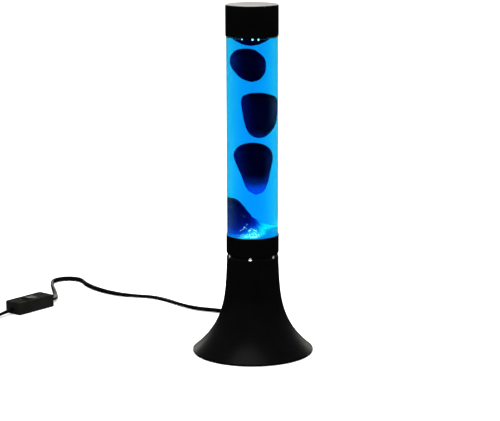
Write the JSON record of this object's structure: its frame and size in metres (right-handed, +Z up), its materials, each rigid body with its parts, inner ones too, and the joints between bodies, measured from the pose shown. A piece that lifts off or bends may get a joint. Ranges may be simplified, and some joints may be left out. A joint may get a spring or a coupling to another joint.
{
  "type": "lava lamp",
  "caption": "Tall lava lamp: trumpet-shaped base, glass bottle with blue liquid and dark wax, press-on cap, flex with a rocker switch and plug.",
  "frame": {"origin": "middle of the base's foot circle, on the table that the rubber feet stand on", "axes": "+Z up the lamp's axis, +Y to the back where the flex leaves the base, +X to the right of the front"},
  "size_m": [0.4702, 0.403, 0.4],
  "materials": {
    "satin_black_metal": "satin black powder coat",
    "plate_steel": "zinc-plated sheet",
    "screw_steel": "zinc-plated",
    "tube_steel": "zinc-plated, threaded",
    "foot_rubber": "matt",
    "gasket_fibre": "heat-proof fibre ring, matt",
    "phenolic": "moulded phenolic",
    "contact_brass": "bare",
    "bulb_brass": "rolled thread",
    "black_glass": "glazed insulator",
    "solder": "soldered contact",
    "bulb_glass": "mirror-backed neck and frosted front",
    "tungsten": "coiled wire",
    "flex_pvc": "soft PVC, semi-matt",
    "relief_rubber": "soft PVC, semi-matt",
    "clamp_plastic": "moulded nylon",
    "wire_pvc": "wire insulation",
    "bottle_glass": "clear, polished",
    "blue_liquid": "clear blue liquid, lit from below",
    "wax": "dark blue wax",
    "coil_wire": "stainless spring wire",
    "crown_metal": "lacquered tinplate",
    "seal_rubber": "soft liner",
    "spacer_plastic": "natural polypropylene",
    "switch_plastic": "fine moulded texture",
    "rocker_plastic": "smooth moulded",
    "tie_plastic": "paper-and-wire twist tie",
    "plug_plastic": "overmoulded PVC",
    "pin_nickel": "nickel-plated"
  },
  "bodies": {
    "base": {"base_shell": "satin_black_metal", "base_plate": "plate_steel", "plate_brackets": "plate_steel", "plate_screws": "screw_steel", "rubber_feet": "foot_rubber", "bottle_seat": "plate_steel", "seat_gasket": "gasket_fibre", "threaded_tube": "tube_steel", "tube_nuts": "screw_steel", "holder_cap": "phenolic", "holder_body": "phenolic", "holder_shell": "contact_brass", "holder_contact": "contact_brass", "holder_terminals": "contact_brass", "cord_strain_relief": "relief_rubber", "cord_clamp": "clamp_plastic", "clamp_screws": "screw_steel", "flex_inner": "flex_pvc", "lead_wires": "wire_pvc", "flex_lamp_side": "flex_pvc", "switch_lower_housing": "switch_plastic", "switch_upper_housing": "switch_plastic", "switch_screws": "screw_steel", "switch_terminals": "contact_brass", "switch_contacts": "contact_brass", "flex_plug_side": "flex_pvc", "flex_coil": "flex_pvc", "coil_ties": "tie_plastic", "flex_plug_tail": "flex_pvc", "plug_body": "plug_plastic", "plug_pins": "pin_nickel", "plug_pin_sleeves": "plug_plastic"},
    "vessel": {"glass_bottle": "bottle_glass", "liquid": "blue_liquid", "wax_top_dome": "wax", "wax_upper": "wax", "wax_middle": "wax", "wax_lower": "wax", "wax_mound": "wax", "heat_coil": "coil_wire", "neck_closure": "crown_metal", "neck_seal": "seal_rubber"},
    "cap": {"cap_shell": "satin_black_metal", "cap_spacer": "spacer_plastic"},
    "bulb": {"bulb_cap": "bulb_brass", "bulb_insulator": "black_glass", "bulb_tip": "solder", "bulb_glass": "bulb_glass"},
    "bulb_mount": {"bulb_stem": "bulb_glass", "bulb_filament": "tungsten"},
    "rocker": {"switch_rocker": "rocker_plastic"}
  },
  "joints": [
    {"name": "vessel_lift", "type": "slide", "parent": "base", "child": "vessel", "axis": [0, 0, 1], "range_m": [0, 0.06]},
    {"name": "cap_lift", "type": "slide", "parent": "vessel", "child": "cap", "axis": [0, 0, 1], "range_m": [0, 0.045]},
    {"name": "bulb_climb", "type": "slide", "parent": "base", "child": "bulb", "axis": [0, 0, 1], "range_m": [0, 0.00846]},
    {"name": "bulb_turn", "type": "hinge", "parent": "bulb", "child": "bulb_mount", "pos_m": [0, 0, 0.06], "axis": [0, 0, 1], "range_deg": [0, 1081]},
    {"name": "rocker_tilt", "type": "hinge", "parent": "base", "child": "rocker", "pos_m": [-0.28, 0.186, 0.011], "axis": [0.766, -0.6428, 0], "range_deg": [0, 14]}
  ],
  "couplings": [
    {"joint": "bulb_turn", "follows": "bulb_climb", "rad_per_m": 2228.1}
  ]
}
